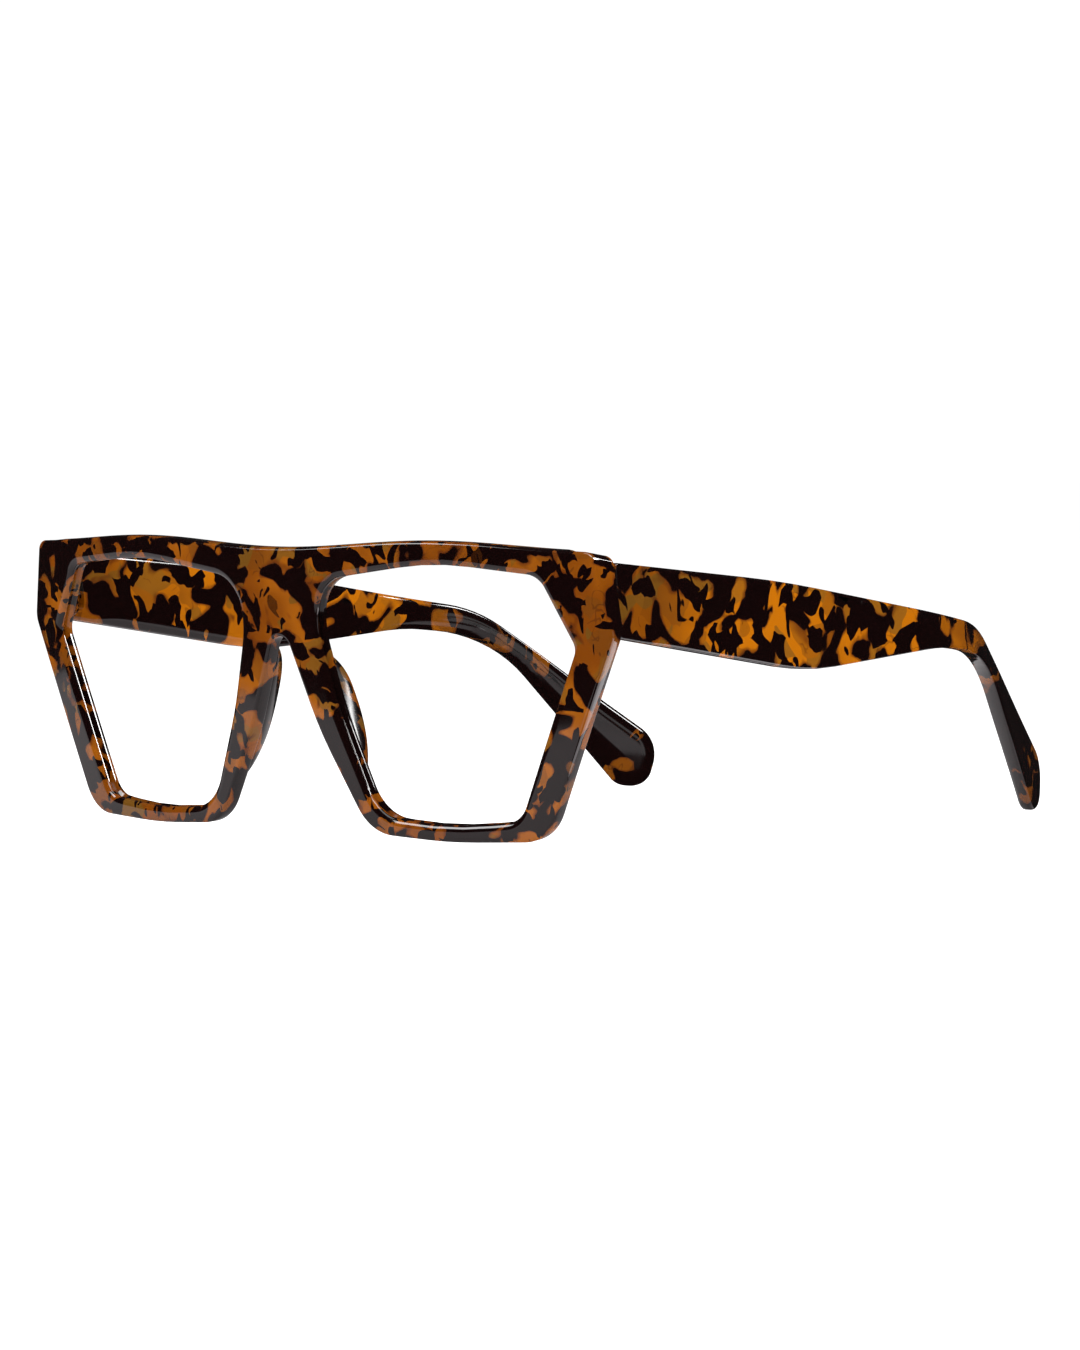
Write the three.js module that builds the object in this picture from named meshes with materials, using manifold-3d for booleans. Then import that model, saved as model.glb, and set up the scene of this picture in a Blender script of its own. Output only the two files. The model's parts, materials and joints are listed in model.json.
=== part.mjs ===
// An acetate eyeglasses frame: front, cemented nose pads, two temples and two three-knuckle hinges.
//
// Everything is drawn in the wearing frame: X across the face (+X is the wearer's left), Y from the
// front face back towards the ears, Z up, with the bridge of the nose at the origin. Only the +X
// side is drawn; the other side mirrors it. The finished group is tilted so that the frame stands
// on its rim bottoms and temple tips, as on a table.

import * as THREE from "three";
import { mergeVertices } from "three/addons/utils/BufferGeometryUtils.js";
import Module from "manifold-3d";

const wasm = await Module();
wasm.setup();

// ---------------------------------------------------------------- driving dimensions, mm

const FRONT_RADIUS = 363; // face-form curve of the front, seen from above
const FRONT_THICKNESS = 3.0;
const FRONT_HALF_WIDTH = 74.7; // to the elbow of the side
const BROW_Z = 15.0; // top edge over the bridge
const BROW_RISE = 1.5; // how far the top edge rises over each eye
const BROW_EYE_X = 37; // where it is highest
const BROW_FALL = 0.5; // how far its ends fall below the bridge
const ARCH_RADIUS = 2.8; // top of the nose gap
const ARCH_TOP_Z = -0.6;

const GROOVE_DEPTH = 0.85; // V groove that holds a lens
const GROOVE_OVERRUN = 0.4; // how far the cutter stands inside the opening

const LUG_BACK_Y = 10.8; // flat back of the end pieces, where the temples butt
const LUG_INNER_X = 66.0;
const LUG_BOTTOM_Z = 0.8;
const LUG_TOP_STEP = 0.5; // its top lies this far under the brow
const LUG_BOTTOM_X = 74.2; // outer side of its flat back, at the bottom
const LUG_TOP_X = 72.9; // and at the top, flush with the temple
const LUG_FLARE = 2.1; // how much narrower its top is where it grows out of the face
const LUG_CORNER = 2.4;

const FIT_GAP = 0.3; // clearance between separate pieces
const BUTT_Y = LUG_BACK_Y + FIT_GAP; // front end of the temples

const TEMPLE_THICKNESS = 3.3;
const TIP_THICKNESS = 3.9;
const TEMPLE_CENTRE_X = 71.15; // mid thickness at the butt end
const TEMPLE_TAPER = 0.022; // slope of the straight part towards the head
const TOE_IN_START = 76; // distance behind the butt end
const TOE_IN_END = 100.5;
const TOE_IN_SLOPE = 0.438; // slope of the drop towards the head

const HINGE_X = 69.0; // hinge axis, just inboard of the temple's inner face
const HINGE_Y = BUTT_Y;
const HINGE_BOTTOM_Z = 2.75;
const BARREL_RADIUS = 1.6;
const BORE_RADIUS = 0.85;
const OUTER_KNUCKLE = 1.9; // height of the front leaf's two knuckles
const INNER_KNUCKLE = 2.2; // height of the temple leaf's knuckle
const KNUCKLE_GAP = 0.25;
const LEAF_THICKNESS = 0.9;
const FRONT_LEAF_OUTER_X = 71.0; // end of the plate sunk in the end piece
const TONGUE_OUTER_X = 71.3; // outer side of the tongue sunk in the temple
const TONGUE_LENGTH = 11; // behind the axis
const TONGUE_MARGIN = 0.8; // how much lower than the barrel it is, above and below
const ARM_WIDTH = 1.4; // of the arm that joins it to its knuckle
const POCKET_LENGTH = 4.2; // milled recess at the temple's butt end
const POCKET_OUTER_X = 70.9;
const POCKET_MARGIN = 1.2; // acetate left under the recess
const POCKET_CORNER = 1.2;
const POCKET_HEADROOM = 0.6;

const SCREW_RADIUS = 0.6;
const SCREW_HEAD_RADIUS = 1.2;
const SCREW_HEAD_HEIGHT = 0.6;
const SLOT_WIDTH = 0.4;
const SLOT_DEPTH = 0.35;
const SCREW_END = 0.2; // how far the shank shows under the lower knuckle

const PAD_LENGTH = 25.5;
const PAD_HEIGHT = 4.6; // how far it stands behind the front
const PAD_CENTRE = new THREE.Vector2(10.2, -14.4);
const PAD_LEAN = THREE.MathUtils.degToRad(26); // follows the side of the nose gap

const REST_TILT = THREE.MathUtils.degToRad(5.41); // wearing frame against the table

// Cross-section of a nose pad as [across, behind the front, fillet radius], lens side positive.
const PAD_SECTION = [
  [-2.1, 0, 0],
  [2.1, 0, 0],
  [2.3, PAD_HEIGHT, 0.8],
  [0.1, PAD_HEIGHT, 1.4],
];

// Corners of one lens opening as [x, z, fillet radius], on the +X side.
const LENS_CORNERS = [
  [9.8, 9.3, 7.5],
  [9.6, 0, 15],
  [13.4, -13.6, 60],
  [21.1, -31.5, 9],
  [37.7, -33.1, 100],
  [53.1, -31.5, 5],
  [66.7, -1.8, 2.6],
  [60.0, 10.5, 4.5],
  [37.7, 12.8, 70],
];

// Corners of the front's outline below the brow, as [x, z, fillet radius], outside to centre.
const OUTLINE_CORNERS = [
  [71.4, BROW_Z - BROW_FALL, 2.2],
  [FRONT_HALF_WIDTH, 0.3, 4],
  [58.6, -34.9, 8],
  [37.7, -35.6, 120],
  [19.3, -34.6, 9.5],
  [8.5, -16.8, 60],
];

// Corners of the temple's side view as [distance behind the butt end, z, fillet radius].
const TEMPLE_CORNERS = [
  [0, 12.4, 0.8],
  [42, 4.5, 300],
  [98.8, -9.9, 24],
  [132.5, -40, 7],
  [128, -52.8, 3.7],
  [102.8, -15.7, 26],
  [84, -12.1, 50],
  [47.5, -12, 60],
  [0, -0.4, 0.8],
];

const ARC_STEP = THREE.MathUtils.degToRad(9); // largest turn between two points of an arc
const BARREL_SEGMENTS = 28; // sides of the hinge barrels
const BORE_SEGMENTS = 20; // and of their bores and the shank in them

const CUT_OVERRUN = 1; // how far a cutter stands out of what it cuts
const JOIN_OVERLAP = 0.1; // how far joined solids reach into each other

// Reach of the blanks that the shapes are cut from, well beyond the finished frame.
const BLANK_SIDE = FRONT_HALF_WIDTH + 4;
const BLANK_BELOW = -60;
const BLANK_ABOVE = 40;
const BLANK_FRONT = -5;
const BLANK_BACK = 30;

// ---------------------------------------------------------------- solids

/** Turns a closed geometry into a solid that can be cut and joined. */
function solidOf(geometry) {
  const bare = geometry.index ? geometry.toNonIndexed() : geometry.clone();
  bare.deleteAttribute("normal");
  bare.deleteAttribute("uv");
  const merged = mergeVertices(bare, 1e-5);
  const mesh = new wasm.Mesh({
    numProp: 3,
    vertProperties: new Float32Array(merged.attributes.position.array),
    triVerts: new Uint32Array(merged.index.array),
  });
  return new wasm.Manifold(mesh);
}

/** Turns a solid back into a geometry. */
function geometryOf(solid) {
  const mesh = solid.getMesh();
  const geometry = new THREE.BufferGeometry();
  geometry.setAttribute("position", new THREE.BufferAttribute(new Float32Array(mesh.vertProperties), 3));
  geometry.setIndex(new THREE.BufferAttribute(new Uint32Array(mesh.triVerts), 1));
  return geometry;
}

/** Leaves a solid on the +X side (side 1) or mirrors it to the other one (side -1). */
function sided(solid, side) {
  if (side > 0) return solid;
  const geometry = geometryOf(solid);
  geometry.scale(-1, 1, 1);
  geometry.index.array.reverse();
  return solidOf(geometry);
}

const AXES = {
  x: [new THREE.Vector3(0, 1, 0), new THREE.Vector3(0, 0, 1), new THREE.Vector3(1, 0, 0)],
  y: [new THREE.Vector3(-1, 0, 0), new THREE.Vector3(0, 0, 1), new THREE.Vector3(0, 1, 0)],
  z: [new THREE.Vector3(1, 0, 0), new THREE.Vector3(0, 1, 0), new THREE.Vector3(0, 0, 1)],
};

/** Extrudes an outline along an axis: (y, z) outlines along x, (x, z) along y and (x, y) along z. */
function prismGeometry(outline, axis, from, to) {
  const flipped = axis === "y";
  const points = outline.map((p) => new THREE.Vector2(flipped ? -p.x : p.x, p.y));
  const shape = new THREE.Shape(points);
  const geometry = new THREE.ExtrudeGeometry(shape, { depth: to - from, bevelEnabled: false });
  geometry.translate(0, 0, from);
  geometry.applyMatrix4(new THREE.Matrix4().makeBasis(...AXES[axis]));
  return geometry;
}

function prism(outline, axis, from, to) {
  return solidOf(prismGeometry(outline, axis, from, to));
}

/** Extrudes an outline of the front face square to the curved front, so that it widens forwards. */
function radialPrism(outline) {
  const geometry = prismGeometry(outline, "y", BLANK_FRONT, BLANK_BACK);
  const position = geometry.attributes.position;
  for (let i = 0; i < position.count; i += 1) {
    const angle = Math.asin(position.getX(i) / FRONT_RADIUS);
    position.setX(i, (FRONT_RADIUS - position.getY(i)) * Math.tan(angle));
  }
  return solidOf(geometry);
}

function box(x0, x1, y0, y1, z0, z1) {
  const geometry = new THREE.BoxGeometry(x1 - x0, y1 - y0, z1 - z0);
  geometry.translate((x0 + x1) / 2, (y0 + y1) / 2, (z0 + z1) / 2);
  return solidOf(geometry);
}

/** An upright cylinder on the hinge axis. */
function hingeCylinder(radius, z0, z1, segments = BARREL_SEGMENTS) {
  const geometry = new THREE.CylinderGeometry(radius, radius, z1 - z0, segments);
  geometry.rotateX(Math.PI / 2);
  geometry.translate(HINGE_X, HINGE_Y, (z0 + z1) / 2);
  return solidOf(geometry);
}

/** Rounds the corners [x, y, radius] of a closed outline, or of an open one with its ends kept. */
function fillet(corners, closed = true) {
  const points = [];
  const count = corners.length;
  corners.forEach(([x, y, radius], i) => {
    const corner = new THREE.Vector2(x, y);
    const isEnd = !closed && (i === 0 || i === count - 1);
    if (isEnd || radius === 0) {
      points.push(corner);
      return;
    }
    const [beforeX, beforeY] = corners[(i + count - 1) % count];
    const [afterX, afterY] = corners[(i + 1) % count];
    const before = new THREE.Vector2(beforeX, beforeY).sub(corner).normalize();
    const after = new THREE.Vector2(afterX, afterY).sub(corner).normalize();
    const turn = Math.PI - Math.acos(THREE.MathUtils.clamp(before.dot(after), -1, 1));
    const start = corner.clone().addScaledVector(before, radius * Math.tan(turn / 2));
    const inward = before.clone().add(after).normalize();
    const centre = corner.clone().addScaledVector(inward, radius / Math.cos(turn / 2));
    const side = Math.sign(-before.cross(after)) || 1;
    const steps = Math.max(2, Math.ceil(turn / ARC_STEP));
    for (let step = 0; step <= steps; step += 1) {
      points.push(start.clone().rotateAround(centre, (side * turn * step) / steps));
    }
  });
  return points;
}

/** Moves each point of a smooth closed outline outwards. */
function offset(outline, distance) {
  const count = outline.length;
  const side = THREE.ShapeUtils.isClockWise(outline) ? -1 : 1;
  return outline.map((point, i) => {
    const next = outline[(i + 1) % count];
    const tangent = next.clone().sub(outline[(i + count - 1) % count]).normalize();
    const outward = new THREE.Vector2(tangent.y, -tangent.x).multiplyScalar(side * distance);
    return point.clone().add(outward);
  });
}

/** Point of the front at a distance across the face, and at a depth square to its curved face. */
function frontPoint(x, z, depth) {
  const angle = Math.asin(x / FRONT_RADIUS);
  const radius = FRONT_RADIUS - depth;
  return [radius * Math.sin(angle), FRONT_RADIUS - radius * Math.cos(angle), z];
}

// ---------------------------------------------------------------- front

/** The curved sheet that the front is cut from. */
function frontSheet() {
  const steps = 30;
  const arc = (depth, direction) =>
    Array.from({ length: steps + 1 }, (_, i) => {
      const [x, y] = frontPoint(direction * BLANK_SIDE * ((2 * i) / steps - 1), 0, depth);
      return new THREE.Vector2(x, y);
    });
  return prism([...arc(0, 1), ...arc(FRONT_THICKNESS, -1)], "z", BLANK_BELOW, BLANK_ABOVE);
}

/** Top edge of the front: a shallow double rise that dips over the bridge. */
function browZ(x) {
  const rise = BROW_RISE * Math.sin((Math.PI * x) / (2 * BROW_EYE_X)) ** 2;
  return BROW_Z + rise - BROW_FALL * (x / FRONT_HALF_WIDTH) ** 2;
}

/** Half outline of the front, from the bridge along the brow, down the side and up to the nose arch. */
function halfFrontOutline() {
  const browSteps = 20;
  const [cornerX, , cornerRadius] = OUTLINE_CORNERS[0];
  const browEnd = cornerX - cornerRadius;
  const brow = Array.from({ length: browSteps - 1 }, (_, i) => {
    const x = (browEnd * (i + 1)) / browSteps;
    return new THREE.Vector2(x, browZ(x));
  });

  const archSteps = 8;
  const archCentreZ = ARCH_TOP_Z - ARCH_RADIUS;
  const [kneeX, kneeZ] = OUTLINE_CORNERS.at(-1);
  const kneeReach = Math.hypot(kneeX, kneeZ - archCentreZ);
  const kneeAngle = Math.atan2(kneeZ - archCentreZ, kneeX);
  const tangentAngle = kneeAngle + Math.acos(ARCH_RADIUS / kneeReach);
  const arch = Array.from({ length: archSteps }, (_, i) => {
    const angle = THREE.MathUtils.lerp(tangentAngle, Math.PI / 2, i / archSteps);
    return new THREE.Vector2(ARCH_RADIUS * Math.cos(angle), archCentreZ + ARCH_RADIUS * Math.sin(angle));
  });

  const start = [browEnd - 1, browZ(browEnd - 1), 0];
  const end = [arch[0].x, arch[0].y, 0];
  const side = fillet([start, ...OUTLINE_CORNERS, end], false).slice(1, -1);
  return [...brow, ...side, ...arch];
}

function frontOutline() {
  const half = halfFrontOutline();
  const otherHalf = half.map((p) => new THREE.Vector2(-p.x, p.y)).reverse();
  const browMiddle = new THREE.Vector2(0, BROW_Z);
  const archTop = new THREE.Vector2(0, ARCH_TOP_Z);
  return [browMiddle, ...half, archTop, ...otherHalf];
}

/** A plug with the V groove's edge round its middle, cutting the groove of the +X opening. */
function grooveCutter(opening) {
  const halfWidth = GROOVE_DEPTH + GROOVE_OVERRUN;
  const middle = FRONT_THICKNESS / 2;
  const loops = [
    [offset(opening, -GROOVE_OVERRUN), middle - halfWidth],
    [offset(opening, GROOVE_DEPTH), middle],
    [offset(opening, -GROOVE_OVERRUN), middle + halfWidth],
  ];
  const count = opening.length;
  const positions = loops.flatMap(([loop, depth]) => loop.flatMap((p) => frontPoint(p.x, p.y, depth)));
  const faces = [];
  for (let ring = 0; ring < loops.length - 1; ring += 1) {
    for (let i = 0; i < count; i += 1) {
      const a = ring * count + i;
      const b = ring * count + ((i + 1) % count);
      faces.push([a, b, b + count], [a, b + count, a + count]);
    }
  }
  const back = (loops.length - 1) * count;
  for (const [a, b, c] of THREE.ShapeUtils.triangulateShape(loops[0][0], [])) {
    faces.push([c, b, a], [a + back, b + back, c + back]);
  }
  const geometry = new THREE.BufferGeometry();
  geometry.setAttribute("position", new THREE.Float32BufferAttribute(positions, 3));
  geometry.setIndex(faces.flat());
  return solidOf(geometry);
}

/** Flat-backed thickening of the end piece, whose outer side flares back to meet the temple. */
function endPiece() {
  const topZ = browZ(LUG_TOP_X) - LUG_TOP_STEP;
  const outline = fillet([
    [LUG_INNER_X, LUG_BOTTOM_Z, 0],
    [LUG_BOTTOM_X, LUG_BOTTOM_Z, 0],
    [LUG_TOP_X, topZ, LUG_CORNER],
    [LUG_INNER_X, topZ, 0],
  ]);
  const geometry = prismGeometry(outline, "y", LUG_BACK_Y - FRONT_THICKNESS, LUG_BACK_Y);
  const position = geometry.attributes.position;
  for (let i = 0; i < position.count; i += 1) {
    const forward = (LUG_BACK_Y - position.getY(i)) / FRONT_THICKNESS;
    const across = (position.getX(i) - LUG_INNER_X) / (LUG_TOP_X - LUG_INNER_X);
    const upward = (position.getZ(i) - LUG_BOTTOM_Z) / (topZ - LUG_BOTTOM_Z);
    position.setX(i, position.getX(i) - LUG_FLARE * forward * across * upward);
  }
  return solidOf(geometry);
}

function buildFront() {
  const silhouette = radialPrism(frontOutline());
  const opening = fillet(LENS_CORNERS);
  const hole = radialPrism(opening);
  let front = silhouette.intersect(frontSheet());
  for (const side of [1, -1]) {
    front = front
      .add(sided(endPiece(), side))
      .subtract(sided(hole, side))
      .subtract(sided(grooveCutter(opening), side))
      .subtract(sided(frontLeafSeat(), side));
  }
  return front;
}

// ---------------------------------------------------------------- nose pads

/** A long low hump of acetate, cemented behind the rim along the side of the nose gap. */
function buildNosePad() {
  const arcRadius = (PAD_LENGTH ** 2 / 4 + PAD_HEIGHT ** 2) / (2 * PAD_HEIGHT);
  const halfAngle = Math.asin(PAD_LENGTH / 2 / arcRadius);
  const steps = 16;
  const hump = Array.from({ length: steps + 1 }, (_, i) => {
    const angle = halfAngle * ((2 * i) / steps - 1);
    const height = arcRadius * Math.cos(angle) - arcRadius + PAD_HEIGHT;
    return new THREE.Vector2(height, arcRadius * Math.sin(angle));
  });
  const halfWidth = PAD_SECTION[2][0];
  const lengthwise = prism(hump, "x", -2 * halfWidth, 2 * halfWidth);
  const crosswise = prism(fillet(PAD_SECTION), "z", -PAD_LENGTH, PAD_LENGTH);
  const geometry = geometryOf(lengthwise.intersect(crosswise));
  const farX = PAD_CENTRE.x + (PAD_LENGTH / 2) * Math.sin(PAD_LEAN) + halfWidth;
  const [, seatY] = frontPoint(farX, 0, FRONT_THICKNESS);
  geometry.rotateY(-PAD_LEAN);
  geometry.translate(PAD_CENTRE.x, seatY + FIT_GAP, PAD_CENTRE.y);
  return solidOf(geometry);
}

// ---------------------------------------------------------------- temples

/** Distance of the temple's mid thickness from the middle of the face. */
function templeX(behind) {
  const bend = TOE_IN_END - TOE_IN_START;
  const along = THREE.MathUtils.clamp(behind - TOE_IN_START, 0, bend);
  const beyond = Math.max(0, behind - TOE_IN_END);
  const toeIn = TOE_IN_SLOPE * (along ** 2 / (2 * bend) + beyond);
  return TEMPLE_CENTRE_X - TEMPLE_TAPER * behind - toeIn;
}

/** Plan view of the temple: straight, then thicker and turned in towards the head behind the ear. */
function templePlan() {
  const bendStep = 2;
  const tipReach = 40;
  const stations = [-CUT_OVERRUN, 0];
  for (let behind = TOE_IN_START; behind <= TOE_IN_END; behind += bendStep) stations.push(behind);
  stations.push(TOE_IN_END + tipReach);
  const edge = (side) =>
    stations.map((behind) => {
      const turned = THREE.MathUtils.clamp((behind - TOE_IN_START) / (TOE_IN_END - TOE_IN_START), 0, 1);
      const thickness = THREE.MathUtils.lerp(TEMPLE_THICKNESS, TIP_THICKNESS, turned);
      return new THREE.Vector2(templeX(behind) + (side * thickness) / 2, BUTT_Y + behind);
    });
  return prism([...edge(1), ...edge(-1).reverse()], "z", BLANK_BELOW, BLANK_ABOVE);
}

/** Slot for the temple leaf, with the recess that the knuckles turn in. */
function templeHingePocket() {
  const bottom = TEMPLE_CORNERS.at(-1)[1] + POCKET_MARGIN;
  const top = HINGE_TOP_Z + POCKET_HEADROOM;
  const recess = fillet([
    [BUTT_Y - CUT_OVERRUN, bottom, 0],
    [BUTT_Y + POCKET_LENGTH, bottom, POCKET_CORNER],
    [BUTT_Y + POCKET_LENGTH, top, POCKET_CORNER],
    [BUTT_Y - CUT_OVERRUN, top, 0],
  ]);
  return prism(recess, "x", HINGE_X - BARREL_RADIUS, POCKET_OUTER_X).add(templeTongue(FIT_GAP));
}

function buildTemple() {
  const outline = fillet(TEMPLE_CORNERS.map(([behind, z, radius]) => [BUTT_Y + behind, z, radius]));
  const profile = prism(outline, "x", 0, BLANK_SIDE);
  return profile.intersect(templePlan()).subtract(templeHingePocket());
}

// ---------------------------------------------------------------- hinges

const LOWER_TOP_Z = HINGE_BOTTOM_Z + OUTER_KNUCKLE;
const MIDDLE_BOTTOM_Z = LOWER_TOP_Z + KNUCKLE_GAP;
const MIDDLE_TOP_Z = MIDDLE_BOTTOM_Z + INNER_KNUCKLE;
const UPPER_BOTTOM_Z = MIDDLE_TOP_Z + KNUCKLE_GAP;
const HINGE_TOP_Z = UPPER_BOTTOM_Z + OUTER_KNUCKLE;
const FRONT_LEAF_BACK_Y = HINGE_Y - BARREL_RADIUS - FIT_GAP; // the middle knuckle turns clear of it
const FRONT_LEAF_FACE_Y = FRONT_LEAF_BACK_Y - LEAF_THICKNESS;

/** Seat milled into the end piece for the front leaf of the hinge. */
function frontLeafSeat() {
  return box(
    HINGE_X - BARREL_RADIUS - FIT_GAP,
    FRONT_LEAF_OUTER_X + FIT_GAP,
    FRONT_LEAF_FACE_Y - FIT_GAP,
    LUG_BACK_Y + CUT_OVERRUN,
    HINGE_BOTTOM_Z - FIT_GAP,
    HINGE_TOP_Z + FIT_GAP,
  );
}

/** Front leaf: a plate sunk in the end piece, carrying the upper and the lower knuckle. */
function buildFrontHinge() {
  const innerX = HINGE_X - BARREL_RADIUS;
  const outerX = HINGE_X + BARREL_RADIUS;
  let leaf = box(
    innerX,
    FRONT_LEAF_OUTER_X,
    FRONT_LEAF_FACE_Y,
    FRONT_LEAF_BACK_Y,
    HINGE_BOTTOM_Z,
    HINGE_TOP_Z,
  );
  for (const [z0, z1] of [[HINGE_BOTTOM_Z, LOWER_TOP_Z], [UPPER_BOTTOM_Z, HINGE_TOP_Z]]) {
    const arm = box(innerX, outerX, FRONT_LEAF_FACE_Y, HINGE_Y, z0, z1);
    leaf = leaf.add(arm).add(hingeCylinder(BARREL_RADIUS, z0, z1));
  }
  const countersink = hingeCylinder(
    SCREW_HEAD_RADIUS + FIT_GAP / 2,
    HINGE_TOP_Z - SCREW_HEAD_HEIGHT - KNUCKLE_GAP,
    HINGE_TOP_Z + CUT_OVERRUN,
  );
  const bore = hingeCylinder(
    BORE_RADIUS,
    HINGE_BOTTOM_Z - CUT_OVERRUN,
    HINGE_TOP_Z + CUT_OVERRUN,
    BORE_SEGMENTS,
  );
  return leaf.subtract(bore).subtract(countersink);
}

/** The tongue that runs from the middle knuckle into the temple, or its slot when grown by a gap. */
function templeTongue(grow) {
  return box(
    TONGUE_OUTER_X - LEAF_THICKNESS - grow,
    TONGUE_OUTER_X + grow,
    HINGE_Y + TONGUE_MARGIN,
    HINGE_Y + TONGUE_LENGTH + grow,
    HINGE_BOTTOM_Z + TONGUE_MARGIN - grow,
    HINGE_TOP_Z - TONGUE_MARGIN + grow,
  );
}

/** Temple leaf: one knuckle between the other two, and a tongue sunk in the temple. */
function buildTempleHinge() {
  const arm = box(
    HINGE_X,
    TONGUE_OUTER_X,
    HINGE_Y + TONGUE_MARGIN,
    HINGE_Y + TONGUE_MARGIN + ARM_WIDTH,
    MIDDLE_BOTTOM_Z,
    MIDDLE_TOP_Z,
  );
  const knuckle = hingeCylinder(BARREL_RADIUS, MIDDLE_BOTTOM_Z, MIDDLE_TOP_Z);
  const bore = hingeCylinder(BORE_RADIUS, HINGE_BOTTOM_Z, HINGE_TOP_Z, BORE_SEGMENTS);
  const swing = hingeCylinder(
    BARREL_RADIUS + FIT_GAP,
    HINGE_BOTTOM_Z - CUT_OVERRUN,
    HINGE_TOP_Z + CUT_OVERRUN,
  );
  return templeTongue(0).subtract(swing).add(arm).add(knuckle).subtract(bore);
}

/** Slotted hinge screw with a flat sunk head, put in from the top. */
function buildScrew() {
  const headBottom = HINGE_TOP_Z - SCREW_HEAD_HEIGHT;
  const shank = hingeCylinder(
    SCREW_RADIUS,
    HINGE_BOTTOM_Z - SCREW_END,
    headBottom + JOIN_OVERLAP,
    BORE_SEGMENTS,
  );
  const head = hingeCylinder(SCREW_HEAD_RADIUS, headBottom, HINGE_TOP_Z);
  const slot = box(
    HINGE_X - SCREW_HEAD_RADIUS - CUT_OVERRUN,
    HINGE_X + SCREW_HEAD_RADIUS + CUT_OVERRUN,
    HINGE_Y - SLOT_WIDTH / 2,
    HINGE_Y + SLOT_WIDTH / 2,
    HINGE_TOP_Z - SLOT_DEPTH,
    HINGE_TOP_Z + CUT_OVERRUN,
  );
  return shank.add(head).subtract(slot);
}

// ---------------------------------------------------------------- assembly

const MATERIALS = {
  acetate: { color: 0x9a5a12, roughness: 0.16, metalness: 0 },
  pad: { color: 0x6b3d10, roughness: 0.2, metalness: 0 },
  steel: { color: 0xb9b8b4, roughness: 0.35, metalness: 1 },
};

const worn = new THREE.Group();

function place(name, solid, finish) {
  const mesh = new THREE.Mesh(geometryOf(solid), new THREE.MeshStandardMaterial(MATERIALS[finish]));
  mesh.name = name;
  worn.add(mesh);
}

place("front_frame", buildFront(), "acetate");
for (const [label, side] of [["left", 1], ["right", -1]]) {
  place(`nose_pad_${label}`, sided(buildNosePad(), side), "pad");
  place(`temple_${label}`, sided(buildTemple(), side), "acetate");
  place(`front_hinge_${label}`, sided(buildFrontHinge(), side), "steel");
  place(`temple_hinge_${label}`, sided(buildTempleHinge(), side), "steel");
  place(`hinge_screw_${label}`, sided(buildScrew(), side), "steel");
}

// Stand the frame on the table, with the middle of its footprint at the origin.
worn.rotation.x = REST_TILT;
const extent = new THREE.Box3().setFromObject(worn, true);
worn.position.set(0, -(extent.min.y + extent.max.y) / 2, -extent.min.z);

const frame = new THREE.Group();
frame.add(worn);

export default frame;
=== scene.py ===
"""Looks of an acetate eyeglasses frame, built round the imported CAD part.

Shapes are drawn in millimetres in the wearing frame: X across the face (+X is the wearer's left),
Y from the front face back towards the ears, Z up, with the bridge at the origin. WORN turns that
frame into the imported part's metres, in which the frame stands on the table.
"""

import json
import math

import bmesh
import bpy
import numpy as np
from mathutils import Matrix, Vector, geometry


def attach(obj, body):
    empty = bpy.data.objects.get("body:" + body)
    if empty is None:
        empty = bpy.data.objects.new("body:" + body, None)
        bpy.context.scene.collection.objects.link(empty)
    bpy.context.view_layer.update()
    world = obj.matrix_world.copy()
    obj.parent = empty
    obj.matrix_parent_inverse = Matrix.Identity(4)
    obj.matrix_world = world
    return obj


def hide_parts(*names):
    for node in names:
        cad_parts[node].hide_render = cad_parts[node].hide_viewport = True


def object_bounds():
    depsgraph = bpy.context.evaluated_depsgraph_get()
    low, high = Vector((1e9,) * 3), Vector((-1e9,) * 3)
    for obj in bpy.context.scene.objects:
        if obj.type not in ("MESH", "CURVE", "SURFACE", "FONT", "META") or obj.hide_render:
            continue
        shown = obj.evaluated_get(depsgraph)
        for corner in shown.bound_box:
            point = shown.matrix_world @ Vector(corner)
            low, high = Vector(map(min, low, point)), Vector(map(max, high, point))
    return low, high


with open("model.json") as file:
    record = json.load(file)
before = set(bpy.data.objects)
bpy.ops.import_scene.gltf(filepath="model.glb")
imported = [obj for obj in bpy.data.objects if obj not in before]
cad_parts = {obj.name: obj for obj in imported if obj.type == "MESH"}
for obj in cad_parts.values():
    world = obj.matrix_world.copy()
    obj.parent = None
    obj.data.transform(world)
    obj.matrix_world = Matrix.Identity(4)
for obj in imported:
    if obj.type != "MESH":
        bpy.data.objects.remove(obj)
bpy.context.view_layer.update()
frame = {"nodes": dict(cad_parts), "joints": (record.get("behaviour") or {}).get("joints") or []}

# ---------------------------------------------------------------- driving dimensions, mm

FRONT_RADIUS = 363.0  # face-form curve of the front, seen from above
FRONT_THICKNESS = 3.0
FRONT_HALF_WIDTH = 74.7
BROW_Z = 15.0  # top edge over the bridge
BROW_RISE = 1.5  # how far it rises over each eye
BROW_EYE_X = 37.0
BROW_FALL = 0.5  # how far its ends fall below the bridge
ARCH_RADIUS = 2.8  # top of the nose gap
ARCH_TOP_Z = -0.6

EDGE_RADIUS = 0.55  # polished outer edges
FLARE_WIDTH = 1.4  # rounded front edge of the lens openings
FLARE_DEPTH = 0.8
GROOVE_Y = 1.62  # middle of the lens groove behind the face
GROOVE_HALF_WIDTH = 0.62
GROOVE_DEPTH = 0.75
GROOVE_BACK_RADIUS = 0.3
EDGE_SUPPORT = 0.2  # narrow flat strip beside a rounded edge, which keeps its shading clean
OPENING_SUPPORT = 0.15  # the same round the openings

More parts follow.
